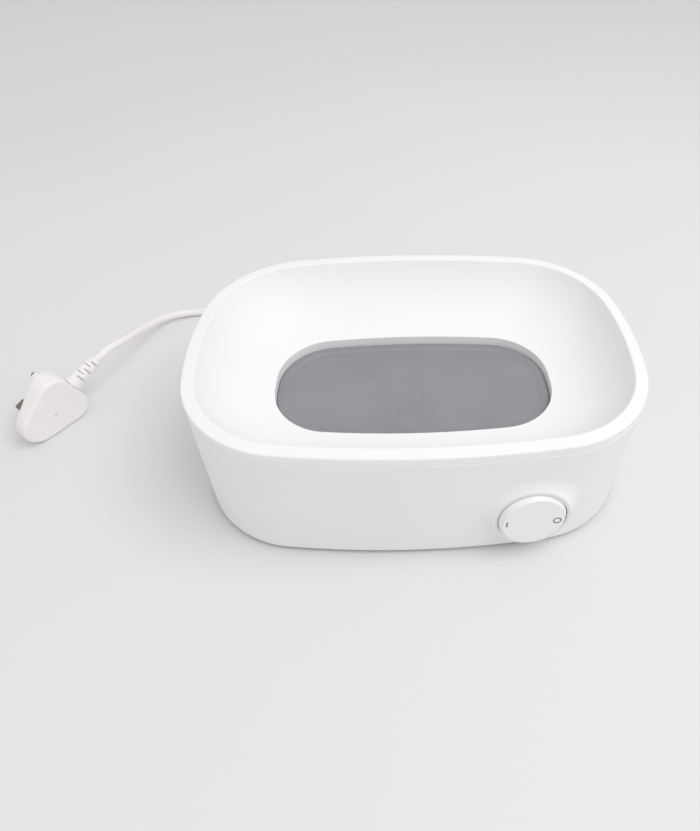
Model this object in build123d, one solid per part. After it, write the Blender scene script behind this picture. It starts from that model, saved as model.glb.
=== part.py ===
from build123d import *
import math
import os

# Steam steriliser base. Millimetres, Z up, origin on the table under the middle, front towards -Y.

# Outline of the rim, four bulging sides and four round corners
LENGTH = 300.0
DEPTH = 203.0
LONG_SIDE_RADIUS = 675.0
SHORT_SIDE_RADIUS = 225.0
CORNER_RADIUS = 72.0

# Heights
HEIGHT = 100.0
FOOT_HEIGHT = 3.0
SEAM_BELOW_RIM = 6.4
RIM_FALL = 0.6

# Walls and rim
WALL = 2.5
RIM_WIDTH = 8.0
WALL_DRAW_IN = 3.5
RIM_THICKNESS = 3.0
RIM_EDGE = 1.1
SEAM_CHAMFER = 0.4
CASING_PROUD = 0.2
CASING_BOTTOM_EDGE = 1.2
TONGUE_HEIGHT = 4.0
TONGUE_WALL = 1.6
LEDGE_REACH = 6.0
LEDGE_THICKNESS = 2.0
COVER_THICKNESS = 2.0

# Clearances
FIT_GAP = 0.3
SCREW_GAP = 0.05
ROCKER_GAP = 0.35
PIN_GAP = 0.05

# Opening in the floor of the bowl
OPENING_HALF_LENGTH = 97.5
OPENING_HALF_DEPTH = 48.2
OPENING_LONG_RADIUS = 616.0
OPENING_SHORT_RADIUS = 172.0
OPENING_CORNER = 40.0
OPENING_HEIGHT = 59.0
LIP_DEPTH = 7.0
LIP_EDGE = 1.0
BOWL_START_SLOPE = 74.0
BOWL_END_SLOPE = 12.0
BOWL_STEPS = 6

# Heating plate, seal and clamp
PLATE_THICKNESS = 1.5
PLATE_FLANGE = 3.0
PLATE_BAND_GAP = 0.8
PLATE_BAND_WIDTH = 6.0
PLATE_BAND_RISE = 2.2
PLATE_WELL_DROP = 0.9
SEAL_THICKNESS = 1.2
SEAL_INSIDE = 0.3
CLAMP_THICKNESS = 2.0
CLAMP_INSIDE = 8.0
CLAMP_OUTSIDE = 11.0
CLAMP_SCREW_LENGTH = 9.0
CLAMP_SCREW_OUT = 7.0
CLAMP_BOSS_RADIUS = 3.6

# Heating element under the plate
ELEMENT_RADIUS = 3.4
ELEMENT_HALF_LENGTH = 62.0
ELEMENT_HALF_DEPTH = 24.0
ELEMENT_BEND = 20.0
ELEMENT_GAP_HALF = 14.0
ELEMENT_PIN_RADIUS = 1.4
ELEMENT_PIN_LENGTH = 12.0

# Thermostat and fuse under the plate
THERMOSTAT_RADIUS = 8.0
THERMOSTAT_HEIGHT = 9.0
BRACKET_THICKNESS = 1.0
BRACKET_WIDTH = 12.0
BRACKET_HALF_SPAN = 15.0
CUTOUT_RADIUS = 2.2
CUTOUT_LENGTH = 14.0
CUTOUT_X = 34.0

# Screws
SCREW_RADIUS = 1.75
SCREW_HEAD_RADIUS = 3.2
SCREW_HEAD_HEIGHT = 2.0
SCREW_LENGTH = 12.0
POST_RADIUS = 4.8
POST_X = 116.0
POST_Y = 62.0
COVER_BOSS_HEIGHT = 3.0

# Feet and vents of the base cover
FOOT_RADIUS = 8.0
FOOT_X = 100.0
FOOT_Y = 58.0
FOOT_STUD_RADIUS = 2.5
FOOT_STUD_HEIGHT = 3.6
VENT_LENGTH = 26.0
VENT_WIDTH = 3.0
VENT_PITCH = 8.0
VENTS_A_ROW = 6
VENT_ROW_X = 48.0

# Rocker boss on the front of the casing
BOSS_X = 68.0
BOSS_Z = 39.2
BOSS_STAND = 5.5
BOSS_TILT = 3.0
BOSS_TURN = 2.5
BOSS_RADIUS = 24.2
BOSS_FLARE_RADIUS = 38.0
BOSS_FLARE_DEPTH = 8.0
BOSS_HOLLOW = 0.15
BOSS_BLEND = 14.0
ROCKER_BORE = 21.63
LIGHT_RING_WIDTH = 1.6
LIGHT_RING_DEPTH = 4.0

# Rocker button, its pin and the switch behind it
ROCKER_FACE_RADIUS = 19.6
ROCKER_FACE_OUT = 2.7
ROCKER_WALL = 1.8
ROCKER_EDGE = 0.7
ROCKER_SKIRT = 5.0
ROCKER_REST_TILT = 3.0
PIN_RADIUS = 1.5
PIN_DEPTH = 3.5
PIN_HALF_LENGTH = 16.0
HUB_HALF_WIDTH = 4.0
HUB_HALF_LENGTH = 11.0
FINGER_HALF_WIDTH = 3.0
FINGER_THICKNESS = 2.0
FINGER_LENGTH = 16.0
EAR_WIDTH = 7.0
EAR_THICKNESS = 3.5
EAR_WALL = 0.9
SWITCH_LENGTH = 34.0
SWITCH_DEPTH = 28.0
SWITCH_FRONT = 10.0
SWITCH_THICKNESS = 15.0
SLIDER_LENGTH = 15.0
SLIDER_WIDTH = 9.0
SLIDER_HEIGHT = 5.0
SLIDER_TRACK_DEPTH = 3.5
SLIDER_GAP = 0.1
SLOT_GAP = 0.3
TERMINAL_LENGTH = 8.0
TERMINAL_WIDTH = 6.3
TERMINAL_THICKNESS = 0.8
SWITCH_POST_RADIUS = 3.6
SWITCH_POST_OUT = 27.0
SWITCH_POST_END = 15.0
SWITCH_FLANGE = 2.0
SWITCH_SCREW_LENGTH = 9.0
LAMP_RADIUS = 2.4
LAMP_LENGTH = 9.0

# Cord, its gland and the clamp inside
CORD_RADIUS = 3.25
GLAND_X = 70.0
GLAND_Z = 16.0
GLAND_LENGTH = 27.0
GLAND_ROOT_RADIUS = 6.2
GLAND_TIP_RADIUS = 4.3
GLAND_FLANGE_RADIUS = 8.2
GLAND_FLANGE = 1.6
GLAND_NECK_RADIUS = 5.6
CLAMP_BAR_LENGTH = 26.0
CLAMP_BAR_WIDTH = 7.0
CLAMP_BAR_HEIGHT = 3.0
BLOCK_LENGTH = 30.0
BLOCK_WIDTH = 14.0
BLOCK_HEIGHT = 10.0
WIRE_RADIUS = 1.1

# Coil of the put away length
COIL_X = -15.0
COIL_Y = 165.0
COIL_INNER = 32.5
COIL_STEP = 7.0
COIL_LAYER_STEP = 7.0
COIL_TURNS = 2

# Three pin plug, lying on a long side
PLUG_X = -283.4
PLUG_Y = 14.1
PLUG_HEADING = 47.8
PLUG_LIFT = 15.5
PLUG_NOSE_RADIUS = 12.0
PLUG_HEEL_RADIUS = 8.5
PLUG_HEEL_SPREAD = 10.7
PLUG_BODY_LENGTH = 25.4
PLUG_THICKNESS = 16.0
PLUG_FLANGE = 1.4
PLUG_FLANGE_THICKNESS = 2.5
PLUG_BACK_EDGE = 2.5
PIN_PITCH = 22.23
PIN_HALF_PITCH = 11.11
EARTH_PIN_LENGTH = 22.7
LINE_PIN_LENGTH = 17.7
EARTH_PIN_WIDTH = 4.0
EARTH_PIN_HEIGHT = 8.0
LINE_PIN_WIDTH = 6.35
LINE_PIN_HEIGHT = 4.0
PIN_LINE = 23.0
PIN_ROOT = 6.0
FUSE_LENGTH = 25.4
FUSE_RADIUS = 3.15
CARRIER_WIDTH = 8.4
CARRIER_LENGTH = 28.0
CARRIER_THICKNESS = 2.0
BOOT_LENGTH = 25.0
BOOT_LIFT = 7.0
BOOT_ROOT_RADIUS = 6.6
BOOT_MIDDLE = 6.8
BOOT_TIP_RADIUS = 5.0
BOOT_SLOT = 2.2
BOOT_SLOTS = 5

# Levels worked out from the sizes above
RIM_OUTER_TOP = HEIGHT - RIM_FALL
SEAM_TOP = RIM_OUTER_TOP - SEAM_BELOW_RIM
LEDGE_BOTTOM = FOOT_HEIGHT + COVER_THICKNESS
LIP_BOTTOM = OPENING_HEIGHT - LIP_DEPTH
PLATE_TOP = LIP_BOTTOM - SEAL_THICKNESS
PLATE_BOTTOM = PLATE_TOP - PLATE_THICKNESS
CLAMP_TOP = PLATE_BOTTOM
POST_BOTTOM = LEDGE_BOTTOM + COVER_BOSS_HEIGHT
BOWL_RUN = LENGTH / 2 - RIM_WIDTH - OPENING_HALF_LENGTH
BOWL_DROP = HEIGHT - OPENING_HEIGHT
DRAW_PER_MM = WALL_DRAW_IN / (RIM_OUTER_TOP - FOOT_HEIGHT)


def rounded_outline(half_length, half_depth, long_radius, short_radius, corner, height):
    """Flat face bounded by two long arcs, two short arcs and four corner arcs."""
    front = Pos(0, half_depth - long_radius) * Circle(long_radius)
    back = Pos(0, long_radius - half_depth) * Circle(long_radius)
    right = Pos(half_length - short_radius, 0) * Circle(short_radius)
    left = Pos(short_radius - half_length, 0) * Circle(short_radius)
    shape = front & back & right & left
    return Pos(0, 0, height) * fillet(shape.vertices(), corner)


def oval(inset, height):
    """The rim's outline drawn in by an inset, at a height."""
    return rounded_outline(
        LENGTH / 2 - inset,
        DEPTH / 2 - inset,
        LONG_SIDE_RADIUS - inset,
        SHORT_SIDE_RADIUS - inset,
        CORNER_RADIUS - inset,
        height,
    )


def opening_outline(outset, height):
    """The opening's outline let out by an outset, at a height."""
    return rounded_outline(
        OPENING_HALF_LENGTH + outset,
        OPENING_HALF_DEPTH + outset,
        OPENING_LONG_RADIUS + outset,
        OPENING_SHORT_RADIUS + outset,
        OPENING_CORNER + outset,
        height,
    )


def bowl_outline(run, height):
    """Level outline of the bowl, from the rim's shape at run 0 to the opening's at BOWL_RUN."""
    share = run / BOWL_RUN

    def between(at_rim, at_opening):
        return at_rim + (at_opening - at_rim) * share

    return rounded_outline(
        between(LENGTH / 2 - RIM_WIDTH, OPENING_HALF_LENGTH),
        between(DEPTH / 2 - RIM_WIDTH, OPENING_HALF_DEPTH),
        between(LONG_SIDE_RADIUS - RIM_WIDTH, OPENING_LONG_RADIUS),
        between(SHORT_SIDE_RADIUS - RIM_WIDTH, OPENING_SHORT_RADIUS),
        between(CORNER_RADIUS - RIM_WIDTH, OPENING_CORNER),
        height,
    )


def bowl_curve(offset):
    """Run and height of the bowl's hollow curve, moved out by an offset square to it."""
    first = math.radians(BOWL_START_SLOPE)
    last = math.radians(BOWL_END_SLOPE)
    turned = math.sin(first) - math.sin(last)
    sunk = math.cos(last) - math.cos(first)
    points = []
    for step in range(BOWL_STEPS + 1):
        slope = first + (last - first) * step / BOWL_STEPS
        run = BOWL_RUN * (math.sin(first) - math.sin(slope)) / turned
        drop = BOWL_DROP * (math.cos(slope) - math.cos(first)) / sunk
        points.append((run - offset * math.sin(slope), HEIGHT - drop - offset * math.cos(slope)))
    return points


def bowl_solid(offset, bottom):
    """Closed body of the bowl down to the opening and then straight down to a bottom level."""
    outlines = [bowl_outline(run, height) for run, height in bowl_curve(offset)]
    top_run, top_height = bowl_curve(offset)[0]
    end_run, end_height = bowl_curve(offset)[-1]
    body = loft(outlines)
    above = extrude(bowl_outline(top_run, top_height), HEIGHT + RIM_THICKNESS - top_height)
    well = extrude(bowl_outline(end_run, bottom), end_height - bottom)
    return above + body + well


def draw_in(height):
    """How far the leaning outer wall lies inside the rim's edge at a height."""
    return (RIM_OUTER_TOP - height) * DRAW_PER_MM


def wall_body(first, last, inset):
    """Solid between two heights with leaning sides, an inset inside the outer wall."""
    return loft([oval(draw_in(first) + inset, first), oval(draw_in(last) + inset, last)], ruled=True)


def ring(outer, inner):
    return outer - inner


def cylinder(x, y, bottom, radius, height):
    return Pos(x, y, bottom) * Cylinder(radius, height, align=(Align.CENTER, Align.CENTER, Align.MIN))


def front_wall(x, height, inset):
    """Y of the front wall at a place along it."""
    radius = LONG_SIDE_RADIUS - draw_in(height) - inset
    return LONG_SIDE_RADIUS - DEPTH / 2 - math.sqrt(radius ** 2 - x ** 2)


def back_wall(x, height, inset):
    return -front_wall(x, height, inset)


def post_places():
    return [(x, y) for x in (-POST_X, POST_X) for y in (-POST_Y, POST_Y)]


def clamp_screw_places():
    along = OPENING_HALF_LENGTH + CLAMP_SCREW_OUT
    across = OPENING_HALF_DEPTH + CLAMP_SCREW_OUT
    third = OPENING_HALF_LENGTH * 0.45
    places = [(-along, 0), (along, 0)]
    for x in (-third, third):
        sag = x ** 2 / (2 * OPENING_LONG_RADIUS)
        places += [(x, -across + sag), (x, across - sag)]
    return places


def make_bowl_housing():
    """Rim, concave bowl, lip round the opening, and the posts and bosses that hang below."""
    chamfer_top = SEAM_TOP + SEAM_CHAMFER
    rim = loft([oval(draw_in(SEAM_TOP) + SEAM_CHAMFER, SEAM_TOP), oval(draw_in(chamfer_top), chamfer_top)], ruled=True)
    rim += wall_body(chamfer_top, RIM_OUTER_TOP, 0)
    rim += loft([oval(0, RIM_OUTER_TOP), oval(RIM_WIDTH, HEIGHT)], ruled=True)
    rim = fillet(edges_at(rim, RIM_OUTER_TOP), RIM_EDGE)
    rim -= wall_body(SEAM_TOP, HEIGHT - RIM_THICKNESS, WALL)
    inside_tongue = WALL + FIT_GAP + TONGUE_WALL
    rim += wall_body(SEAM_TOP - TONGUE_HEIGHT, HEIGHT - RIM_THICKNESS, WALL + FIT_GAP)
    rim += wall_body(SEAM_TOP, HEIGHT - RIM_THICKNESS, WALL / 2)
    rim -= wall_body(SEAM_TOP - TONGUE_HEIGHT, HEIGHT - RIM_THICKNESS, inside_tongue)
    skin = bowl_solid(WALL, LIP_BOTTOM)
    for x, y in post_places():
        skin += cylinder(x, y, POST_BOTTOM, POST_RADIUS, HEIGHT - POST_BOTTOM - RIM_THICKNESS)
    for x, y in clamp_screw_places():
        skin += cylinder(x, y, CLAMP_TOP, CLAMP_BOSS_RADIUS, OPENING_HEIGHT + WALL - CLAMP_TOP)
    body = rim + (skin & wall_body(POST_BOTTOM, HEIGHT - RIM_THICKNESS / 2, inside_tongue - TONGUE_WALL / 2))
    body -= bowl_solid(0, LIP_BOTTOM - WALL)
    mouth = edges_at(body, HEIGHT)
    body = fillet(mouth, RIM_EDGE)
    for x, y in post_places():
        body -= cylinder(x, y, POST_BOTTOM, SCREW_RADIUS + SCREW_GAP, SCREW_LENGTH)
    for x, y in clamp_screw_places():
        body -= cylinder(x, y, CLAMP_TOP, SCREW_RADIUS + SCREW_GAP, CLAMP_SCREW_LENGTH - CLAMP_THICKNESS + 1)
    return body


def edges_at(body, height):
    """Edges that lie at one height."""
    return body.edges().filter_by(lambda edge: edge.bounding_box().size.Z < 0.001
                                  and abs(edge.bounding_box().max.Z - height) < 0.001)


def boss_plane(out=0.0):
    """Plane on the rocker's axis, its x to the right, its y up and its z out of the front."""
    turn = math.radians(BOSS_TURN)
    tilt = math.radians(BOSS_TILT)
    axis = Vector(math.sin(turn) * math.cos(tilt), -math.cos(turn) * math.cos(tilt), math.sin(tilt))
    across = Vector(math.cos(turn), math.sin(turn), 0)
    start = Vector(BOSS_X, front_wall(BOSS_X, BOSS_Z, -CASING_PROUD), BOSS_Z)
    return Plane(origin=start + axis * out, x_dir=across, z_dir=axis)


def boss_tube(first, last, radius, inner=0.0, x=0.0, y=0.0):
    """Cylinder or tube along the rocker's axis between two depths."""
    section = Pos(x, y, 0) * Circle(radius)
    if inner:
        section -= Pos(x, y, 0) * Circle(inner)
    return boss_plane(first) * extrude(section, last - first)


def boss_box(x, y, first, last, length, width):
    return boss_plane(first) * extrude(Pos(x, y) * Rectangle(length, width), last - first)


def boss_flare():
    """Solid of the boss, whose side sweeps out in a hollow curve to meet the wall."""
    rise = BOSS_STAND + BOSS_FLARE_DEPTH
    spread = BOSS_FLARE_RADIUS - BOSS_RADIUS
    chord = math.hypot(rise, spread)
    sag = chord * BOSS_HOLLOW
    middle = (
        BOSS_RADIUS + spread / 2 - sag * rise / chord,
        BOSS_STAND - rise / 2 - sag * spread / chord,
    )
    top = (BOSS_RADIUS, BOSS_STAND)
    foot = (BOSS_FLARE_RADIUS, -BOSS_FLARE_DEPTH)
    side = ThreePointArc(top, middle, foot)
    rest = Polyline(foot, (0, -BOSS_FLARE_DEPTH), (0, BOSS_STAND), top)
    profile = Plane.XZ * make_face(Wire([*side.edges(), *rest.edges()]))
    solid = revolve(profile, Axis.Z)
    return boss_plane() * solid


def flare_crease(body):
    """Edges where the boss's hollow side meets the wall."""
    crease = []
    for edge in body.edges():
        place = boss_plane().to_local_coords(edge.position_at(0.5))
        near = abs(place.Z) < BOSS_STAND and BOSS_RADIUS < math.hypot(place.X, place.Y) < BOSS_FLARE_RADIUS
        if near and edge.length > BOSS_STAND:
            crease.append(edge)
    return crease


def make_outer_casing():
    """Leaning wall with the seam at its top, a ledge near its foot and the rocker's boss."""
    chamfer_foot = SEAM_TOP - SEAM_CHAMFER
    body = wall_body(FOOT_HEIGHT, chamfer_foot, -CASING_PROUD)
    body += boss_flare()
    body = fillet(flare_crease(body), BOSS_BLEND)
    body = fillet(edges_at(body, FOOT_HEIGHT), CASING_BOTTOM_EDGE)
    body += loft([
        oval(draw_in(chamfer_foot) - CASING_PROUD, chamfer_foot),
        oval(draw_in(SEAM_TOP) - CASING_PROUD + SEAM_CHAMFER, SEAM_TOP),
    ], ruled=True)
    inner = wall_body(FOOT_HEIGHT, SEAM_TOP, WALL)
    ledge = wall_body(LEDGE_BOTTOM, LEDGE_BOTTOM + LEDGE_THICKNESS, WALL)
    ledge -= wall_body(LEDGE_BOTTOM, LEDGE_BOTTOM + LEDGE_THICKNESS, WALL + LEDGE_REACH)
    body -= inner - ledge
    body -= extrude(oval(0, 0), FOOT_HEIGHT)
    for side in (-1, 1):
        post = boss_tube(-SWITCH_POST_END, 0, SWITCH_POST_RADIUS, x=side * SWITCH_POST_OUT)
        body += post & wall_body(FOOT_HEIGHT, SEAM_TOP, WALL / 2)
        body -= boss_tube(
            -SWITCH_POST_END,
            -SWITCH_POST_END + SWITCH_SCREW_LENGTH - SWITCH_FLANGE + 0.5,
            SCREW_RADIUS + SCREW_GAP,
            x=side * SWITCH_POST_OUT,
        )
    body -= boss_tube(-BOSS_RADIUS, BOSS_STAND + 1, ROCKER_BORE)
    body -= boss_tube(BOSS_STAND - LIGHT_RING_DEPTH, BOSS_STAND + 1, ROCKER_BORE + LIGHT_RING_WIDTH)
    body -= boss_tube(-LAMP_LENGTH, BOSS_STAND - LIGHT_RING_DEPTH, LAMP_RADIUS + SCREW_GAP, y=lamp_out())
    body -= Pos(GLAND_X, 0, GLAND_Z) * Rot(-90, 0, 0) * cylinder(0, 0, 0, GLAND_NECK_RADIUS + FIT_GAP / 2, DEPTH)
    return body


def lamp_out():
    return ROCKER_BORE + LAMP_RADIUS + LIGHT_RING_WIDTH / 2


def make_light_ring():
    ring = boss_tube(BOSS_STAND - LIGHT_RING_DEPTH, BOSS_STAND, ROCKER_BORE + LIGHT_RING_WIDTH, ROCKER_BORE)
    return ring


def make_indicator_lamp():
    back = BOSS_STAND - LIGHT_RING_DEPTH
    return boss_tube(back - LAMP_LENGTH, back, LAMP_RADIUS, y=lamp_out())


def tilted_at_rest(body):
    """Turns a piece about the rocker's pin to the off position."""
    pivot = boss_plane(PIN_DEPTH)
    return pivot.location * Rot(0, ROCKER_REST_TILT, 0) * pivot.location.inverse() * body


def make_rocker_button():
    """Round button with a drafted side, a hub for the pin and a finger that moves the switch."""
    face_out = BOSS_STAND + ROCKER_FACE_OUT
    edge = ROCKER_BORE - ROCKER_GAP
    skirt_end = BOSS_STAND - ROCKER_SKIRT
    profile = Polyline(
        (0, face_out),
        (ROCKER_FACE_RADIUS, face_out),
        (edge, BOSS_STAND),
        (edge, skirt_end),
        (edge - ROCKER_WALL, skirt_end),
        (edge - ROCKER_WALL, face_out - ROCKER_WALL),
        (0, face_out - ROCKER_WALL),
        (0, face_out),
    )
    cap = revolve(Plane.XZ * make_face(profile), Axis.Z)
    rims = cap.edges().filter_by(GeomType.CIRCLE).sort_by(Axis.Z)
    cap = fillet(rims[-1], ROCKER_EDGE)
    cap = boss_plane() * cap
    hub_bottom = PIN_DEPTH - PIN_RADIUS - ROCKER_WALL
    cap += boss_box(0, 0, hub_bottom, face_out - ROCKER_WALL / 2, 2 * HUB_HALF_WIDTH, 2 * HUB_HALF_LENGTH)
    cap += boss_box(0, 0, PIN_DEPTH - FINGER_LENGTH, PIN_DEPTH, FINGER_THICKNESS, 2 * FINGER_HALF_WIDTH)
    cap -= pin_body(PIN_RADIUS + PIN_GAP, HUB_HALF_LENGTH + 1)
    return tilted_at_rest(cap)


def pin_body(radius, half_length):
    """Cylinder on the rocker's pivot line."""
    section = Plane(
        origin=boss_plane(PIN_DEPTH).origin - boss_plane().y_dir * half_length,
        x_dir=boss_plane().x_dir,
        z_dir=boss_plane().y_dir,
    )
    return section * extrude(Circle(radius), 2 * half_length)


def make_switch_body():
    """Switch with two ears for the pin, a track for the slider and a flange on two posts."""
    back = -SWITCH_FRONT - SWITCH_THICKNESS
    body = boss_box(0, 0, back, -SWITCH_FRONT, SWITCH_LENGTH, SWITCH_DEPTH)
    for side in (-1, 1):
        ear_y = side * (HUB_HALF_LENGTH + FIT_GAP + EAR_THICKNESS / 2)
        body += boss_box(0, ear_y, -SWITCH_FRONT, PIN_DEPTH + PIN_RADIUS + EAR_WALL, EAR_WIDTH, EAR_THICKNESS)
    flange_length = 2 * (SWITCH_POST_OUT + SWITCH_POST_RADIUS)
    flange = boss_box(
        0, 0, -SWITCH_POST_END - SWITCH_FLANGE, -SWITCH_POST_END, flange_length, 2 * SWITCH_POST_RADIUS
    )
    body += flange
    track = -SWITCH_FRONT - SLIDER_TRACK_DEPTH
    travel = slider_offset()
    body -= boss_box(
        0, 0, track, -SWITCH_FRONT,
        SLIDER_LENGTH + 2 * (travel + SLOT_GAP), SLIDER_WIDTH + 2 * SLIDER_GAP,
    )
    body -= pin_body(PIN_RADIUS, PIN_HALF_LENGTH)
    for side in (-1, 1):
        body -= boss_tube(
            -SWITCH_POST_END - SWITCH_FLANGE, -SWITCH_POST_END,
            SCREW_RADIUS + SCREW_GAP, x=side * SWITCH_POST_OUT,
        )
    return body


def slider_offset():
    """How far the finger's tip stands aside when the rocker is tilted."""
    return FINGER_LENGTH * math.sin(math.radians(ROCKER_REST_TILT))


def make_switch_slider():
    low = -SWITCH_FRONT - SLIDER_TRACK_DEPTH + SLIDER_GAP
    body = boss_box(-slider_offset(), 0, low, low + SLIDER_HEIGHT, SLIDER_LENGTH, SLIDER_WIDTH)
    slot_floor = PIN_DEPTH - FINGER_LENGTH - SLOT_GAP
    body -= boss_box(
        -slider_offset(), 0, slot_floor, low + SLIDER_HEIGHT,
        FINGER_THICKNESS + 2 * SLOT_GAP, 2 * (FINGER_HALF_WIDTH + SLOT_GAP),
    )
    return body


def terminal_x(index):
    return (index - 1) * SWITCH_LENGTH / 3


def make_switch_terminals():
    back = -SWITCH_FRONT - SWITCH_THICKNESS
    blades = [
        boss_box(terminal_x(index), 0, back - TERMINAL_LENGTH, back, TERMINAL_THICKNESS, TERMINAL_WIDTH)
        for index in range(3)
    ]
    return Compound(children=[blade.solid() for blade in blades])


def screw(place, length):
    """Pan head screw: head above the place's plane, shank below it along -Z."""
    head = Cylinder(SCREW_HEAD_RADIUS, SCREW_HEAD_HEIGHT, align=(Align.CENTER, Align.CENTER, Align.MIN))
    head = fillet(head.edges().sort_by(Axis.Z)[-1], SCREW_HEAD_HEIGHT / 3)
    shank = Cylinder(SCREW_RADIUS, length, align=(Align.CENTER, Align.CENTER, Align.MAX))
    return place * (head + shank)


def group(solids):
    return Compound(children=[piece.solid() for piece in solids])


def make_switch_screws():
    back = -SWITCH_POST_END - SWITCH_FLANGE
    frame = boss_plane(back)
    away = Plane(origin=frame.origin, x_dir=frame.x_dir, z_dir=-frame.z_dir)
    screws = []
    for side in (-1, 1):
        screws.append(screw(away.location * Pos(side * SWITCH_POST_OUT, 0, 0), SWITCH_SCREW_LENGTH))
    return group(screws)


def make_base_cover():
    """Flat underside panel with vents, screw bosses, a cord saddle and two clamp posts."""
    outline = oval(draw_in(FOOT_HEIGHT) + WALL + FIT_GAP, FOOT_HEIGHT)
    body = extrude(outline, COVER_THICKNESS)
    for x, y in post_places():
        body += cylinder(x, y, LEDGE_BOTTOM, POST_RADIUS, COVER_BOSS_HEIGHT)
        body -= cylinder(x, y, FOOT_HEIGHT, SCREW_HEAD_RADIUS + FIT_GAP, COVER_BOSS_HEIGHT)
        body -= cylinder(x, y, FOOT_HEIGHT, SCREW_RADIUS + SCREW_GAP, COVER_THICKNESS + COVER_BOSS_HEIGHT)
    for x, y in foot_places():
        body -= cylinder(x, y, FOOT_HEIGHT, FOOT_STUD_RADIUS, COVER_THICKNESS)
    for row in (-VENT_ROW_X, 0, VENT_ROW_X):
        for index in range(VENTS_A_ROW):
            y = (index - (VENTS_A_ROW - 1) / 2) * VENT_PITCH
            slot = Pos(row, y, FOOT_HEIGHT) * SlotOverall(VENT_LENGTH, VENT_WIDTH)
            body -= extrude(slot, COVER_THICKNESS)
    saddle_top = GLAND_Z - CORD_RADIUS
    body += Pos(GLAND_X, clamp_y(), LEDGE_BOTTOM) * Box(
        CORD_RADIUS * 2, CLAMP_BAR_WIDTH, saddle_top - LEDGE_BOTTOM, align=(Align.CENTER, Align.CENTER, Align.MIN)
    )
    for side in (-1, 1):
        x = GLAND_X + side * clamp_screw_out()
        body += cylinder(x, clamp_y(), LEDGE_BOTTOM, CLAMP_BAR_WIDTH / 2, clamp_bar_bottom() - LEDGE_BOTTOM)
        hole = CLAMP_SCREW_LENGTH - CLAMP_BAR_HEIGHT + 1
        body -= cylinder(x, clamp_y(), clamp_bar_bottom() - hole, SCREW_RADIUS + SCREW_GAP, hole)
    return body


def foot_places():
    return [(x, y) for x in (-FOOT_X, FOOT_X) for y in (-FOOT_Y, FOOT_Y)]


def clamp_y():
    return gland_inner_end() - 10.0


def clamp_screw_out():
    return CLAMP_BAR_LENGTH / 2 - CLAMP_BAR_WIDTH / 2


def clamp_bar_bottom():
    return GLAND_Z + CORD_RADIUS


def make_feet():
    feet = []
    for x, y in foot_places():
        foot = cylinder(x, y, 0, FOOT_RADIUS, FOOT_HEIGHT)
        foot = chamfer(foot.edges().sort_by(Axis.Z)[0], 0.8)
        foot += cylinder(x, y, FOOT_HEIGHT, FOOT_STUD_RADIUS, COVER_THICKNESS)
        foot += cylinder(x, y, LEDGE_BOTTOM, FOOT_STUD_RADIUS + 0.7, FOOT_STUD_HEIGHT - COVER_THICKNESS)
        feet.append(foot)
    return group(feet)


def make_base_screws():
    level = FOOT_HEIGHT + COVER_BOSS_HEIGHT
    return group([screw(Pos(x, y, level) * Rot(180, 0, 0), SCREW_LENGTH) for x, y in post_places()])


def make_heating_plate():
    """Pressed plate: flat flange, raised border and a shallow flat well."""
    body = extrude(opening_outline(PLATE_FLANGE, PLATE_BOTTOM), PLATE_THICKNESS)
    border = extrude(opening_outline(-PLATE_BAND_GAP, PLATE_BOTTOM), PLATE_THICKNESS + PLATE_BAND_RISE)
    border = fillet(edges_at(border, PLATE_TOP + PLATE_BAND_RISE), PLATE_BAND_RISE / 2)
    body += border
    well_floor = PLATE_TOP + PLATE_BAND_RISE - PLATE_WELL_DROP
    inner = -PLATE_BAND_GAP - PLATE_BAND_WIDTH
    body -= loft([
        opening_outline(inner - PLATE_WELL_DROP, well_floor),
        opening_outline(inner + PLATE_WELL_DROP, PLATE_TOP + PLATE_BAND_RISE),
    ], ruled=True)
    body -= extrude(
        opening_outline(-PLATE_BAND_GAP - PLATE_THICKNESS, PLATE_BOTTOM),
        plate_underside() - PLATE_BOTTOM,
    )
    return body


def plate_underside():
    return PLATE_TOP + PLATE_BAND_RISE - PLATE_WELL_DROP - PLATE_THICKNESS


def make_plate_seal():
    body = extrude(opening_outline(PLATE_FLANGE, PLATE_TOP), SEAL_THICKNESS)
    return body - extrude(opening_outline(-SEAL_INSIDE, PLATE_TOP), SEAL_THICKNESS)


def make_clamp_ring():
    bottom = CLAMP_TOP - CLAMP_THICKNESS
    body = extrude(opening_outline(CLAMP_OUTSIDE, bottom), CLAMP_THICKNESS)
    body -= extrude(opening_outline(-CLAMP_INSIDE, bottom), CLAMP_THICKNESS)
    for x, y in clamp_screw_places():
        body -= cylinder(x, y, bottom, SCREW_RADIUS + SCREW_GAP, CLAMP_THICKNESS)
    return body


def make_clamp_screws():
    level = CLAMP_TOP - CLAMP_THICKNESS
    return group([screw(Pos(x, y, level) * Rot(180, 0, 0), CLAMP_SCREW_LENGTH) for x, y in clamp_screw_places()])


def element_level():
    return plate_underside() - ELEMENT_RADIUS


def make_heating_element():
    """Sheathed tube that runs once round under the plate."""
    z = element_level()
    corners = [
        (ELEMENT_GAP_HALF, -ELEMENT_HALF_DEPTH, z),
        (ELEMENT_HALF_LENGTH, -ELEMENT_HALF_DEPTH, z),
        (ELEMENT_HALF_LENGTH, ELEMENT_HALF_DEPTH, z),
        (-ELEMENT_HALF_LENGTH, ELEMENT_HALF_DEPTH, z),
        (-ELEMENT_HALF_LENGTH, -ELEMENT_HALF_DEPTH, z),
        (-ELEMENT_GAP_HALF, -ELEMENT_HALF_DEPTH, z),
    ]
    path = FilletPolyline(*corners, radius=ELEMENT_BEND)
    return sweep(Plane(origin=corners[0], z_dir=(1, 0, 0)) * Circle(ELEMENT_RADIUS), path)


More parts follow.
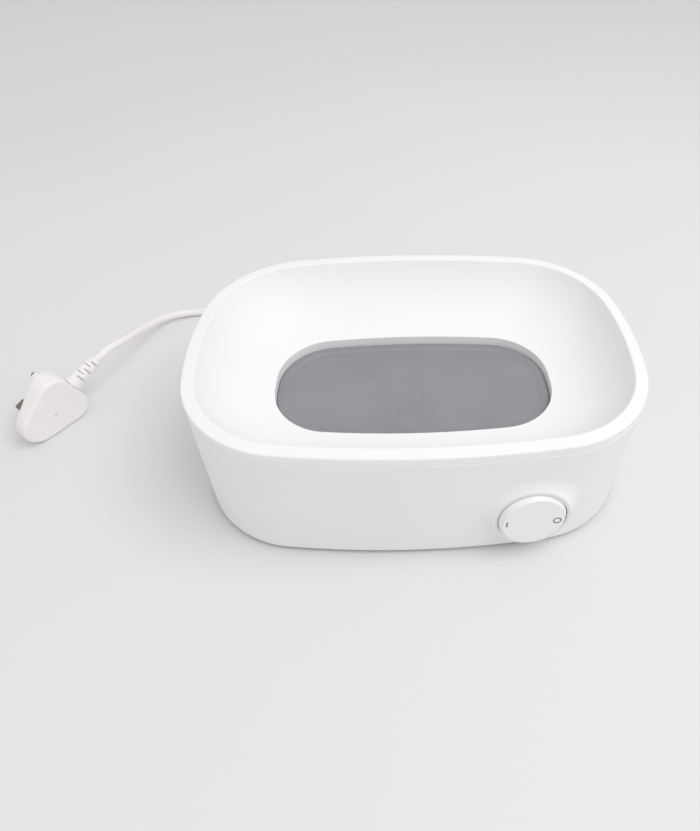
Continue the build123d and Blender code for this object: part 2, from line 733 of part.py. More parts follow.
def make_element_pins():
    pins = []
    for side in (-1, 1):
        start = Plane(origin=(side * ELEMENT_GAP_HALF, -ELEMENT_HALF_DEPTH, element_level()), z_dir=(-side, 0, 0))
        pins.append(start * extrude(Circle(ELEMENT_PIN_RADIUS), ELEMENT_PIN_LENGTH - 2))
    return group(pins)


def make_thermostat():
    return cylinder(0, 0, plate_underside() - THERMOSTAT_HEIGHT, THERMOSTAT_RADIUS, THERMOSTAT_HEIGHT)


def make_thermostat_bracket():
    """Strap over the thermostat with its two feet on the plate."""
    low = plate_underside() - THERMOSTAT_HEIGHT - BRACKET_THICKNESS
    span = 2 * BRACKET_HALF_SPAN
    base = (Align.CENTER, Align.CENTER, Align.MIN)
    body = Pos(0, 0, low) * Box(span, BRACKET_WIDTH, BRACKET_THICKNESS, align=base)
    for side in (-1, 1):
        x = side * (BRACKET_HALF_SPAN - BRACKET_THICKNESS / 2)
        height = plate_underside() - low
        body += Pos(x, 0, low) * Box(BRACKET_THICKNESS, BRACKET_WIDTH, height, align=base)
    return body


def make_thermal_fuse():
    level = plate_underside() - CUTOUT_RADIUS
    section = Plane(origin=(CUTOUT_X, -CUTOUT_LENGTH / 2, level), z_dir=(0, 1, 0)) * Circle(CUTOUT_RADIUS)
    return extrude(section, CUTOUT_LENGTH)


def gland_inner_end():
    """Y of the gland's inner face, clear of the curved inner wall."""
    return gland_seat() - GLAND_FLANGE


def gland_seat():
    low = GLAND_Z - GLAND_FLANGE_RADIUS
    return back_wall(GLAND_X + GLAND_FLANGE_RADIUS, low, WALL) - SCREW_GAP


def gland_start():
    """Y where the gland's taper begins, clear of the outer wall."""
    return back_wall(GLAND_X - GLAND_ROOT_RADIUS, GLAND_Z + GLAND_ROOT_RADIUS, -CASING_PROUD) + SCREW_GAP


def make_cord_gland():
    """Tapered strain relief with a neck through the wall and a flange inside it."""
    start = gland_start()
    tip = start + GLAND_LENGTH
    profile = Polyline(
        (0, gland_inner_end()),
        (GLAND_FLANGE_RADIUS, gland_inner_end()),
        (GLAND_FLANGE_RADIUS, gland_seat()),
        (GLAND_NECK_RADIUS, gland_seat()),
        (GLAND_NECK_RADIUS, start),
        (GLAND_ROOT_RADIUS, start),
        (GLAND_TIP_RADIUS, tip),
        (0, tip),
        (0, gland_inner_end()),
    )
    return Pos(GLAND_X, 0, GLAND_Z) * revolve(make_face(profile), Axis.Y)


def make_cord_inner():
    """Sheathed end of the cord inside the casing, from the gland to past the clamp."""
    section = Plane(origin=(GLAND_X, gland_inner_end(), GLAND_Z), z_dir=(0, -1, 0)) * Circle(CORD_RADIUS)
    return extrude(section, cord_inner_length())


def cord_inner_length():
    return 10.0 + CLAMP_BAR_WIDTH


def make_cord_clamp():
    bar = Pos(GLAND_X, clamp_y(), clamp_bar_bottom()) * extrude(
        SlotOverall(CLAMP_BAR_LENGTH, CLAMP_BAR_WIDTH), CLAMP_BAR_HEIGHT
    )
    for side in (-1, 1):
        x = GLAND_X + side * clamp_screw_out()
        bar -= cylinder(x, clamp_y(), clamp_bar_bottom(), SCREW_RADIUS + SCREW_GAP, CLAMP_BAR_HEIGHT)
    return bar


def make_cord_clamp_screws():
    level = clamp_bar_bottom() + CLAMP_BAR_HEIGHT
    places = [Pos(GLAND_X + side * clamp_screw_out(), clamp_y(), level) for side in (-1, 1)]
    return group([screw(place, CLAMP_SCREW_LENGTH) for place in places])


def block_back():
    return gland_inner_end() - cord_inner_length() - 12.0


def make_terminal_block():
    """Three pole block on the base cover."""
    base = (Align.CENTER, Align.MAX, Align.MIN)
    body = Pos(GLAND_X, block_back(), LEDGE_BOTTOM) * Box(BLOCK_LENGTH, BLOCK_WIDTH, BLOCK_HEIGHT, align=base)
    for pole in (-1, 1):
        x = GLAND_X + pole * BLOCK_LENGTH / 6
        body -= Pos(x, block_back(), LEDGE_BOTTOM + BLOCK_HEIGHT / 2) * Box(
            1.0, BLOCK_WIDTH, BLOCK_HEIGHT / 2, align=base
        )
    return body


def tube(points, radius, share=0.45):
    """Round tube along straight runs joined by tangent arcs, and the least arc radius."""
    places = [Vector(*point) for point in points]
    radii = corner_radii(places, share)
    path = FilletPolyline(*places, radius=radii) if radii else Line(*places)
    section = Plane(origin=path @ 0, z_dir=path % 0) * Circle(radius)
    return sweep(section, path), path, radii


def corner_radii(places, share):
    radii = []
    for before, here, after in zip(places, places[1:], places[2:]):
        run = min((here - before).length, (after - here).length)
        turn = math.radians((here - before).get_angle(after - here))
        radii.append(share * run / math.tan(turn / 2))
    return radii


def pole_place(pole, side):
    """Middle of a terminal block's pole, on its back (1) or front (-1) face."""
    y = block_back() if side > 0 else block_back() - BLOCK_WIDTH
    return (GLAND_X + pole * BLOCK_LENGTH / 3, y, LEDGE_BOTTOM + 0.3 * BLOCK_HEIGHT)


def make_wire_live():
    """Live wire from the terminal block to the switch."""
    end = boss_plane(-SWITCH_FRONT - SWITCH_THICKNESS - TERMINAL_LENGTH).location * Pos(terminal_x(2), 0, 0)
    tip = end.position
    start = pole_place(1, -1)
    points = [
        start,
        (start[0], start[1] - 18, start[2]),
        (start[0] + 1, start[1] - 44, start[2] + 6),
        (tip.X, tip.Y + 22, tip.Z - 12),
        (tip.X, tip.Y + 8, tip.Z),
        (tip.X, tip.Y, tip.Z),
    ]
    return tube(points, WIRE_RADIUS)[0]


def make_wire_switched():
    """Wire from the switch to the heating element."""
    end = boss_plane(-SWITCH_FRONT - SWITCH_THICKNESS - TERMINAL_LENGTH).location * Pos(terminal_x(0), 0, 0)
    tip = end.position
    reach = ELEMENT_GAP_HALF - ELEMENT_PIN_LENGTH + 2
    goal = (reach, -ELEMENT_HALF_DEPTH, element_level() - ELEMENT_PIN_RADIUS)
    points = [
        (tip.X, tip.Y, tip.Z),
        (tip.X, tip.Y + 8, tip.Z - 1),
        (tip.X - 16, tip.Y + 22, tip.Z - 6),
        (goal[0] + 12, goal[1] - 4, goal[2] - 12),
        (goal[0] + 1, goal[1], goal[2] - 8),
        (goal[0] + 1.2, goal[1], goal[2]),
    ]
    return tube(points, WIRE_RADIUS, 0.4)[0]


def make_wire_neutral():
    """Neutral wire from the terminal block to the heating element."""
    start = pole_place(-1, -1)
    reach = -(ELEMENT_GAP_HALF - ELEMENT_PIN_LENGTH + 2)
    goal = (reach, -ELEMENT_HALF_DEPTH, element_level() - ELEMENT_PIN_RADIUS)
    points = [
        start,
        (start[0], start[1] - 14, start[2]),
        (start[0] - 22, start[1] - 30, start[2] + 8),
        (goal[0] + 14, goal[1] + 10, goal[2] - 16),
        (goal[0] - 1, goal[1] + 1, goal[2] - 9),
        (goal[0] - 1.2, goal[1], goal[2]),
    ]
    return tube(points, WIRE_RADIUS, 0.4)[0]


def make_wire_earth():
    """Earth wire from the terminal block to the plate's clamp ring."""
    start = pole_place(0, -1)
    goal = (50.0, 8.0, plate_underside() - 0.2)
    points = [
        start,
        (start[0], start[1] - 12, start[2]),
        (start[0] - 4, start[1] - 26, start[2] + 8),
        (goal[0] + 8, goal[1] + 6, goal[2] - 18),
        (goal[0], goal[1], goal[2] - 8),
        (goal[0], goal[1] - 0.4, goal[2]),
    ]
    return tube(points, WIRE_RADIUS, 0.4)[0]


def coil_place(turned):
    """Centre of the coil's cord after a number of turns from its start at the back."""
    half = COIL_TURNS / 2
    radius = COIL_INNER + COIL_STEP * abs(turned - half)
    climb = min(max((turned - half + 0.25) / 0.5, 0.0), 1.0)
    angle = math.radians(90 + 360 * turned)
    return Vector(
        COIL_X + radius * math.cos(angle),
        COIL_Y + radius * math.sin(angle),
        CORD_RADIUS + COIL_LAYER_STEP * climb,
    )


def coil_heading(turned):
    """Direction of the coil's cord after a number of turns."""
    step = 0.001
    if turned < step:
        return Vector(-1, 0, 0)
    if turned > COIL_TURNS - step:
        return Vector(-1, 0, 0)
    return (coil_place(turned + step) - coil_place(turned - step)).normalized()


def biarc(start, start_way, end, end_way):
    """Two arcs that join two places, tangent to a heading at each."""
    across = end - start
    ways = start_way + end_way
    spread = 2 * (1 - start_way.dot(end_way))
    lean = across.dot(ways)
    reach = (-lean + math.sqrt(lean ** 2 + spread * across.dot(across))) / spread
    first = start + start_way * reach
    last = end - end_way * reach
    joint = (first + last) / 2
    return [TangentArc(start, joint, tangent=start_way), TangentArc(joint, end, tangent=last - first)]


def coil_path():
    """The coil's centre line: a straight end, biarcs of a quarter turn, a straight end."""
    quarters = 4 * COIL_TURNS
    straight = 2 * CORD_RADIUS
    first = coil_place(0)
    last = coil_place(COIL_TURNS)
    edges = [Line(first + Vector(straight, 0, 0), first)]
    for quarter in range(quarters):
        here = quarter / 4
        there = (quarter + 1) / 4
        edges += biarc(coil_place(here), coil_heading(here), coil_place(there), coil_heading(there))
    edges.append(Line(last, last - Vector(straight, 0, 0)))
    return edges


def make_cord_coil():
    edges = []
    for piece in coil_path():
        edges += piece.edges()
    path = Wire(edges)
    section = Plane(origin=path @ 0, z_dir=path % 0) * Circle(CORD_RADIUS)
    body = sweep(section, path=path)
    report("cord_coil", path, body, CORD_RADIUS)
    print("cord_coil least gap to itself", round(least_gap(path), 2))
    return body


def least_gap(path):
    """Least gap between stretches of the coil that are over half a turn apart."""
    count = 60 * COIL_TURNS
    places = [path @ (index / count) for index in range(count + 1)]
    apart = int(count / COIL_TURNS / 2)
    least = 1e9
    for first in range(count + 1):
        for second in range(first + apart, count + 1):
            least = min(least, (places[first] - places[second]).length)
    return least - 2 * CORD_RADIUS


def report(name, path, body, radius):
    length = path.length
    share = body.volume / (math.pi * radius ** 2 * length)
    print(name, "length", round(length, 1), "volume to section times length", round(share, 4))


def lead_points():
    """Free cord from the gland's tip down to the table and round to the coil."""
    tip = gland_start() + GLAND_LENGTH
    goal = coil_place(0) + Vector(2 * CORD_RADIUS, 0, 0)
    return [
        (GLAND_X, tip, GLAND_Z),
        (GLAND_X, tip + 16, GLAND_Z),
        (GLAND_X - 1, tip + 34, 9.5),
        (GLAND_X - 7, tip + 50, CORD_RADIUS + 0.2),
        (GLAND_X - 19, tip + 65, CORD_RADIUS),
        (GLAND_X - 36, goal.Y - 4, CORD_RADIUS + 0.1),
        (goal.X + 18, goal.Y, CORD_RADIUS),
        (goal.X, goal.Y, goal.Z),
    ]


def tail_points():
    """Free cord from the coil down to the table, round the end and up to the plug's boot."""
    start = coil_place(COIL_TURNS) - Vector(2 * CORD_RADIUS, 0, 0)
    end = boot_end()
    way = boot_plane().z_dir
    return [
        (start.X, start.Y, start.Z),
        (start.X - 16, start.Y, start.Z),
        (start.X - 34, start.Y - 5, 5.5),
        (start.X - 54, start.Y - 13, CORD_RADIUS + 0.1),
        (-105.0, 181.0, CORD_RADIUS),
        (-133.0, 167.0, CORD_RADIUS + 0.1),
        (-163.0, 158.0, CORD_RADIUS),
        (-189.0, 154.5, CORD_RADIUS + 0.1),
        (-207.0, 153.5, CORD_RADIUS + 0.3),
        (-223.0, 143.0, 7.0),
        (-232.0, 123.0, 15.0),
        (-238.0, 102.0, 24.5),
        (-243.0, 82.0, 32.0),
        tuple(end + way * 12),
        tuple(end),
    ]


def make_free_cord(name, points):
    body, path, radii = tube(points, CORD_RADIUS)
    print(name, "radii", [round(radius) for radius in radii])
    report(name, path, body, CORD_RADIUS)
    return body


def plug_plane(out=0.0):
    """Plug's own plane: x from its narrow end to its cord, z from its back towards its pins."""
    heading = math.radians(PLUG_HEADING)
    lift = math.radians(PLUG_LIFT)
    along = Vector(
        math.cos(heading) * math.cos(lift), math.sin(heading) * math.cos(lift), math.sin(lift)
    )
    pins = Vector(-math.sin(heading), math.cos(heading), 0)
    level = plug_height()
    return Plane(origin=Vector(PLUG_X, PLUG_Y, level) + pins * out, x_dir=along, z_dir=pins)


def plug_height():
    """Height of the plug's nose circle when the flange's long side lies on the table."""
    lift = math.radians(PLUG_LIFT)
    heel_drop = PLUG_BODY_LENGTH * math.sin(lift) - PLUG_HEEL_SPREAD * math.cos(lift)
    return max(PLUG_NOSE_RADIUS, PLUG_HEEL_RADIUS - heel_drop) + PLUG_FLANGE


def plug_outline(outset):
    """Rounded triangle round a nose circle and two heel circles."""
    circles = [Circle(PLUG_NOSE_RADIUS + outset)]
    for side in (-1, 1):
        circles.append(Pos(PLUG_BODY_LENGTH, side * PLUG_HEEL_SPREAD) * Circle(PLUG_HEEL_RADIUS + outset))
    edges = []
    for circle in circles:
        edges += circle.edges()
    return make_hull(edges)


def make_plug_body():
    """Moulded plug: bevelled back, straight sides and a wider flange on the pin side."""
    side = PLUG_THICKNESS - PLUG_FLANGE_THICKNESS
    body = extrude(plug_outline(0), side)
    body = fillet(body.edges().group_by(Axis.Z)[0], PLUG_BACK_EDGE)
    flange = Pos(0, 0, side) * extrude(plug_outline(PLUG_FLANGE), PLUG_FLANGE_THICKNESS)
    flange = fillet(flange.edges().group_by(Axis.Z)[0], PLUG_FLANGE * 0.7)
    body = body + flange
    socket = plug_pin_places()
    for x, y, length, width, height in socket:
        body -= Pos(x, y, PLUG_THICKNESS - PIN_ROOT) * extrude(Rectangle(width, height), PIN_ROOT)
    body -= carrier_shape(0)
    body -= fuse_shape()
    return plug_plane() * body - boot_plane() * boot_cone()


def plug_pin_places():
    """Earth, line and neutral pins: place, length, size along the cord and across it."""
    earth_x = PIN_LINE - PIN_PITCH
    return [
        (earth_x, 0, EARTH_PIN_LENGTH, EARTH_PIN_HEIGHT, EARTH_PIN_WIDTH),
        (PIN_LINE, PIN_HALF_PITCH, LINE_PIN_LENGTH, LINE_PIN_HEIGHT, LINE_PIN_WIDTH),
        (PIN_LINE, -PIN_HALF_PITCH, LINE_PIN_LENGTH, LINE_PIN_HEIGHT, LINE_PIN_WIDTH),
    ]


def make_plug_pin(index):
    x, y, length, width, height = plug_pin_places()[index]
    pin = Pos(x, y, PLUG_THICKNESS - PIN_ROOT) * extrude(Rectangle(width, height), PIN_ROOT + length)
    pin = chamfer(pin.edges().group_by(Axis.Z)[-1], 1.0)
    return plug_plane() * pin


def fuse_shape():
    """Room for the cartridge fuse, along the plug, under its carrier."""
    level = PLUG_THICKNESS - CARRIER_THICKNESS - FUSE_RADIUS
    start = Plane(origin=(carrier_middle() - FUSE_LENGTH / 2, 0, level), z_dir=(1, 0, 0))
    return start * extrude(Circle(FUSE_RADIUS), FUSE_LENGTH)


def carrier_middle():
    return PIN_LINE - PIN_PITCH + EARTH_PIN_HEIGHT / 2 + CARRIER_LENGTH / 2 + 0.5


def carrier_shape(gap):
    """Cover over the fuse, flush with the pin side, drawn in by a gap."""
    outline = Rectangle(CARRIER_LENGTH - 2 * gap, CARRIER_WIDTH - 2 * gap)
    outline = fillet(outline.vertices(), 1.0)
    return Pos(carrier_middle(), 0, PLUG_THICKNESS - CARRIER_THICKNESS) * extrude(outline, CARRIER_THICKNESS)


def make_fuse_carrier():
    return plug_plane() * carrier_shape(FIT_GAP / 3)


def make_cartridge_fuse():
    return plug_plane() * fuse_shape()


def boot_start():
    return PLUG_BODY_LENGTH + PLUG_HEEL_RADIUS


def boot_plane():
    """Plane at the boot's root, its z along the boot, which bends up from the plug."""
    plane = plug_plane()
    bend = math.radians(BOOT_LIFT)
    along = plane.x_dir * math.cos(bend) - plane.y_dir * math.sin(bend)
    origin = plane.from_local_coords(Vector(boot_start(), 0, BOOT_MIDDLE))
    return Plane(origin=origin, x_dir=plane.z_dir, z_dir=along)


def boot_end():
    """Tip of the plug's boot, where the free cord begins."""
    return boot_plane().from_local_coords(Vector(0, 0, BOOT_LENGTH))


def boot_cone():
    """The boot's tapered outer shape, along Z from its root."""
    profile = Polyline(
        (0, 0),
        (BOOT_ROOT_RADIUS, 0),
        (BOOT_TIP_RADIUS, BOOT_LENGTH),
        (0, BOOT_LENGTH),
        (0, 0),
    )
    return revolve(Plane.XZ * make_face(profile), Axis.Z)


def make_plug_boot():
    """Tapered boot with slots that alternate from side to side so that it bends."""
    body = boot_cone()
    pitch = BOOT_LENGTH / (BOOT_SLOTS + 2)
    for index in range(BOOT_SLOTS):
        level = pitch * (index + 1.8)
        for side in (-1, 1):
            turn = 90 * (index % 2)
            reach = CORD_RADIUS + BOOT_ROOT_RADIUS / 2
            cut = Box(BOOT_ROOT_RADIUS, 3 * BOOT_ROOT_RADIUS, BOOT_SLOT)
            body -= Rot(0, 0, turn) * Pos(side * reach, 0, level) * cut
    return boot_plane() * body


def make_parts():
    """Every piece by its name."""
    return {
        "bowl_housing": make_bowl_housing(),
        "outer_casing": make_outer_casing(),
        "base_cover": make_base_cover(),
        "heating_plate": make_heating_plate(),
        "plate_seal": make_plate_seal(),
        "clamp_ring": make_clamp_ring(),
        "clamp_screws": make_clamp_screws(),
        "heating_element": make_heating_element(),
        "element_pins": make_element_pins(),
        "thermostat": make_thermostat(),
        "thermostat_bracket": make_thermostat_bracket(),
        "thermal_fuse": make_thermal_fuse(),
        "light_ring": make_light_ring(),
        "indicator_lamp": make_indicator_lamp(),
        "rocker_button": make_rocker_button(),
        "rocker_pin": pin_body(PIN_RADIUS, PIN_HALF_LENGTH),
        "switch_body": make_switch_body(),
        "switch_slider": make_switch_slider(),
        "switch_terminals": make_switch_terminals(),
        "switch_screws": make_switch_screws(),
        "feet": make_feet(),
        "base_screws": make_base_screws(),
        "cord_gland": make_cord_gland(),
        "cord_inner": make_cord_inner(),
        "cord_clamp": make_cord_clamp(),
        "cord_clamp_screws": make_cord_clamp_screws(),
        "terminal_block": make_terminal_block(),
        "wire_live": make_wire_live(),
        "wire_switched": make_wire_switched(),
        "wire_neutral": make_wire_neutral(),
        "wire_earth": make_wire_earth(),
        "cord_lead": make_free_cord("cord_lead", lead_points()),
        "cord_coil": make_cord_coil(),
        "cord_tail": make_free_cord("cord_tail", tail_points()),
        "plug_body": make_plug_body(),
        "plug_boot": make_plug_boot(),
        "earth_pin": make_plug_pin(0),
        "live_pin": make_plug_pin(1),
        "neutral_pin": make_plug_pin(2),
        "fuse_carrier": make_fuse_carrier(),
        "cartridge_fuse": make_cartridge_fuse(),
    }


CORD_PIECES = [
    "cord_gland",
    "cord_lead",
    "cord_coil",
    "cord_tail",
    "plug_body",
    "plug_boot",
    "earth_pin",
    "live_pin",
    "neutral_pin",
    "fuse_carrier",
    "cartridge_fuse",
]


def middle_of_body(parts):
    """Y of the middle of the box round every piece but the cord and what is on it."""
    boxes = [shape.bounding_box() for name, shape in parts.items() if name not in CORD_PIECES]
    return (min(box.min.Y for box in boxes) + max(box.max.Y for box in boxes)) / 2


os.makedirs("parts", exist_ok=True)
parts = make_parts()
shift = -middle_of_body(parts)
print("moved back by", round(shift, 4))
for name, shape in parts.items():
    solids = [Pos(0, shift, 0) * solid for solid in shape.solids()]
    print(name, len(solids))
    export_step(solids[0] if len(solids) == 1 else Compound(children=solids), f"parts/{name}.step")
for name, place in (("pin", boss_plane(PIN_DEPTH)), ("boss", boss_plane())):
    print(name, "at", tuple(place.origin), "x", tuple(place.x_dir), "y", tuple(place.y_dir), "z", tuple(place.z_dir))
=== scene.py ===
import math

import bmesh
import bpy
from mathutils import Matrix, Vector


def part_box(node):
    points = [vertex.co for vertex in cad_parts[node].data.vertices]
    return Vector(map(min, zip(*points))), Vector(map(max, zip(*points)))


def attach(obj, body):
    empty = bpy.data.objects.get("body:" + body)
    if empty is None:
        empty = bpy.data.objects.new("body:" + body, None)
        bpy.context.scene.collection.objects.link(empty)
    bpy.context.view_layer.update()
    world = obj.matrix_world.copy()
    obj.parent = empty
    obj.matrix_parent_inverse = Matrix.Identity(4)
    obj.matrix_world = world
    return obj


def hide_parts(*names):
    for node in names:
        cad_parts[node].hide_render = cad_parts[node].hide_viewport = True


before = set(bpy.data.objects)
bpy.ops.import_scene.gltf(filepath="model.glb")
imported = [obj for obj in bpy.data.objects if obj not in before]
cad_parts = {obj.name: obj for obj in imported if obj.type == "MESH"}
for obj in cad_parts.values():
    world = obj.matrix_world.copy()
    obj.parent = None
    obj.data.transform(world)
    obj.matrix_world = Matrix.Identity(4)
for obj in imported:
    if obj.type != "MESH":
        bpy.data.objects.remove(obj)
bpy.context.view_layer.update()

# Sizes in metres, in the frame's own axes: Z up, front towards -Y.
MM = 0.001
BACK_SHIFT = 2.4361 * MM

# Camera
CAMERA_PLACE = (-19.28 * MM, -322.52 * MM + BACK_SHIFT, 379.14 * MM)
CAMERA_TURN = -3.23
CAMERA_DOWN = 38.52
CAMERA_ROLL = 0.95
FOCAL_PIXELS = 634.14
PICTURE_WIDE = 700
PICTURE_HIGH = 831
MIDDLE_PIXEL = (413.51, 311.83)

# Cord
CORD_RADIUS = 3.25 * MM
COIL_X = -15 * MM
COIL_Y = 165 * MM
COIL_INNER = 32.5 * MM
COIL_STEP = 7 * MM
COIL_TURNS = 2
COIL_POINTS = 16

# Three pin plug, lying on a long side
PLUG_PLACE = (-274.1 * MM, 7.1 * MM + BACK_SHIFT)
PLUG_HEADING = 52.9
PLUG_LIFT = 21.0
NOSE_RADIUS = 15.8 * MM
HEEL_RADIUS = 12.7 * MM
HEEL_SPREAD = 10.9 * MM
HEEL_OUT = 19.8 * MM
HEEL_THICKNESS = 18.2 * MM
NOSE_THICKNESS = 9.5 * MM
BACK_EDGE = 2.5 * MM
PIN_EDGE = 1.2 * MM
PIN_LINE = 23.0 * MM
PIN_PITCH = 22.23 * MM
PIN_HALF_PITCH = 11.11 * MM
EARTH_PIN = (8.0 * MM, 4.0 * MM, 22.7 * MM)
LINE_PIN = (3.8 * MM, 6.1 * MM, 16.5 * MM)
SLEEVE_WALL = 0.25 * MM
BARE_TIP = 2.2 * MM
PIN_ROOT = 8.0 * MM
SLEEVE_EDGE = 1.0 * MM
PIN_BEVEL = 1.4 * MM
FUSE_COVER = (22 * MM, 8 * MM, 2 * MM)
FUSE_COVER_X = 18 * MM
FUSE_COVER_SINK = 0.8 * MM
FUSE_COVER_EDGE = 0.4 * MM
GATE_PLACE = (9.5 * MM, 1.0 * MM)
GATE_INNER = 0.6 * MM
GATE_OUTER = 1.5 * MM
GATE_STAND = 0.55 * MM
GATE_SINK = 0.15 * MM
PIT_RADIUS = 0.65 * MM
PIT_DEPTH = 0.3 * MM
SLOT_WIDTH = 1.35 * MM
SLOT_DEPTH = 2.2 * MM
SLOTS = 5
SLOT_SIDES = (198, 66)
SLOT_HALF_TURN = 80
BOOT_LENGTH = 25.0 * MM
BOOT_MIDDLE = 7.9 * MM
BOOT_DROP = 3.0
BOOT_ROOT_RADIUS = 6.6 * MM
BOOT_TIP_RADIUS = 5.0 * MM

# Rocker's axis
BOSS_PLACE = Vector((68.0 * MM, -96.0702 * MM + BACK_SHIFT, 39.2 * MM))
BOSS_TURN = 2.5
BOSS_TILT = 3.0
ROCKER_REST = 3.0
ROCKER_PIN = 3.5 * MM
ROCKER_FACE = 8.2 * MM

# Switch marks on the rocker's face
ON_MARK = (0.9 * MM, 4.4 * MM, 0.10 * MM)
ON_PLACE = (-17.0 * MM, 0.6 * MM, 0.03 * MM)
ON_EDGE = 0.04 * MM
OFF_INNER = 1.9 * MM
OFF_OUTER = 2.65 * MM
OFF_SINK = 0.02 * MM
OFF_STAND = 0.08 * MM
OFF_PLACE = (14.9 * MM, -0.9 * MM, 0)

# Surroundings
FLOOR_HALF = 4.0
WINDOW_PLACE = (0.62, -0.35, 1.5)
WINDOW_TARGET = (0, 0, 0.05)
WINDOW_SIZE = 1.1
WINDOW_POWER = 10.3
WINDOW_COLOUR = (0.97, 0.985, 1.0)
SKY_COLOUR = (1.0, 0.988, 0.98, 1)
SKY_STRENGTH = 0.76


def make_camera():
    """Camera where the photograph was taken from."""
    data = bpy.data.cameras.new("camera")
    data.sensor_width = 36
    data.lens = FOCAL_PIXELS / PICTURE_HIGH * data.sensor_width
    data.shift_x = (PICTURE_WIDE / 2 - MIDDLE_PIXEL[0]) / PICTURE_HIGH
    data.shift_y = (MIDDLE_PIXEL[1] - PICTURE_HIGH / 2) / PICTURE_HIGH
    data.clip_start = 0.01
    camera = bpy.data.objects.new("camera", data)
    bpy.context.collection.objects.link(camera)
    turn = Matrix.Rotation(math.radians(CAMERA_TURN), 4, "Z")
    down = Matrix.Rotation(math.radians(90 - CAMERA_DOWN), 4, "X")
    roll = Matrix.Rotation(math.radians(CAMERA_ROLL), 4, "Z")
    camera.matrix_world = Matrix.Translation(CAMERA_PLACE) @ turn @ down @ roll
    bpy.context.scene.camera = camera


def coil_place(turned):
    """Centre of the cord in its coil after a number of turns from its start at the back."""
    half = COIL_TURNS / 2
    radius = COIL_INNER + COIL_STEP * abs(turned - half)
    share = min(max((turned - half + 0.25) / 0.5, 0.0), 1.0)
    climb = share ** 2 * (3 - 2 * share)
    angle = math.radians(90 + 360 * turned)
    return (
        COIL_X + radius * math.cos(angle),
        COIL_Y + BACK_SHIFT + radius * math.sin(angle),
        CORD_RADIUS + COIL_STEP * climb,
    )


def plug_frame():
    """Matrix of the plug: x from its nose to its cord, z from its back towards its pins."""
    heading = math.radians(PLUG_HEADING)
    lift = math.radians(PLUG_LIFT)
    level = math.cos(lift)
    along = Vector((math.cos(heading) * level, math.sin(heading) * level, math.sin(lift)))
    pins = Vector((-math.sin(heading), math.cos(heading), 0))
    across = pins.cross(along)
    turn = Matrix((along, across, pins)).transposed().to_4x4()
    return Matrix.Translation((*PLUG_PLACE, NOSE_RADIUS)) @ turn


def boot_place(out):
    """Place on the boot's axis at a distance from its root."""
    return boot_frame() @ Vector((0, 0, out))


def boot_frame():
    """Matrix of the boot: z along it from its root, x towards the pins."""
    drop = math.radians(BOOT_DROP)
    along = Vector((math.cos(drop), math.sin(drop), 0))
    side = Vector((0, 0, 1))
    turn = Matrix((side, along.cross(side), along)).transposed().to_4x4()
    return plug_frame() @ Matrix.Translation((HEEL_OUT + HEEL_RADIUS, 0, BOOT_MIDDLE)) @ turn


def cord_route():
    """Points of the cord from the gland's tip, round the coil and along to the plug's boot."""
    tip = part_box("cord_gland")[1].y / MM
    coil_start = Vector(coil_place(0)) / MM
    coil_end = Vector(coil_place(COIL_TURNS)) / MM
    low = CORD_RADIUS / MM
    lead = [
        (70, tip, 16),
        (70, tip + 16, 16),
        (69, tip + 34, 9.5),
        (63, tip + 50, low + 0.2),
        (51, tip + 65, low),
        (34, coil_start.y - 4, low + 0.1),
        (coil_start.x + 24.5, coil_start.y, low),
        (coil_start.x + 6.5, coil_start.y, low),
    ]
    tail = [
        (coil_end.x - 6.5, coil_end.y, coil_end.z),
        (coil_end.x - 22.5, coil_end.y, coil_end.z),
        (coil_end.x - 40.5, coil_end.y - 5, 5.5),
        (coil_end.x - 60.5, coil_end.y - 13, low + 0.1),
    ]
    shift = BACK_SHIFT / MM
    rest = [
        (-105, 181 + shift, low),
        (-133, 167 + shift, low + 0.1),
        (-163, 158 + shift, low),
        (-189, 154.5 + shift, low + 0.1),
        (-207, 153.5 + shift, low + 0.3),
        (-221.5, 142.5 + shift, 7.8),
        (-227.8, 119.5 + shift, 17.5),
        (-231.8, 94.5 + shift, 28),
        (-236, 75.5 + shift, 35),
        boot_place(BOOT_LENGTH + 10 * MM) / MM,
        boot_place(BOOT_LENGTH - 3 * MM) / MM,
    ]
    scaled = [tuple(value * MM for value in point) for point in lead]
    for step in range(COIL_TURNS * COIL_POINTS + 1):
        scaled.append(coil_place(step / COIL_POINTS))
    scaled += [tuple(value * MM for value in point) for point in tail + rest]
    return scaled


def make_cord(plug_pieces):
    """The mains lead: one smooth curve from the gland to the plug's boot.

    Its points carry its radius, which keeps the curve's own box as narrow as the cord.
    """
    points = cord_route()
    data = bpy.data.curves.new("mains_lead", "CURVE")
    data.dimensions = "3D"
    data.bevel_depth = 1.0
    data.bevel_resolution = 6
    data.resolution_u = 8
    data.use_fill_caps = True
    spline = data.splines.new("NURBS")
    spline.points.add(len(points) - 1)
    for control, point in zip(spline.points, points):
        control.co = (*point, 1)
        control.radius = CORD_RADIUS
    spline.order_u = 3
    spline.use_endpoint_u = True
    lead = bpy.data.objects.new("mains_lead", data)
    bpy.context.collection.objects.link(lead)
    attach(lead, "base")
    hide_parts("cord_lead", "cord_coil", "cord_tail")
    return lead


def plug_outline():
    """Points of the rounded triangle round the plug's nose circle and its two heel circles."""
    spread = math.hypot(HEEL_OUT, HEEL_SPREAD)
    lean = math.atan2(HEEL_SPREAD, HEEL_OUT) + math.acos((NOSE_RADIUS - HEEL_RADIUS) / spread)
    points = arc(HEEL_OUT, HEEL_SPREAD, HEEL_RADIUS, 0, lean)
    points += arc(0, 0, NOSE_RADIUS, lean, math.tau - lean)
    points += arc(HEEL_OUT, -HEEL_SPREAD, HEEL_RADIUS, -lean, 0)
    return points


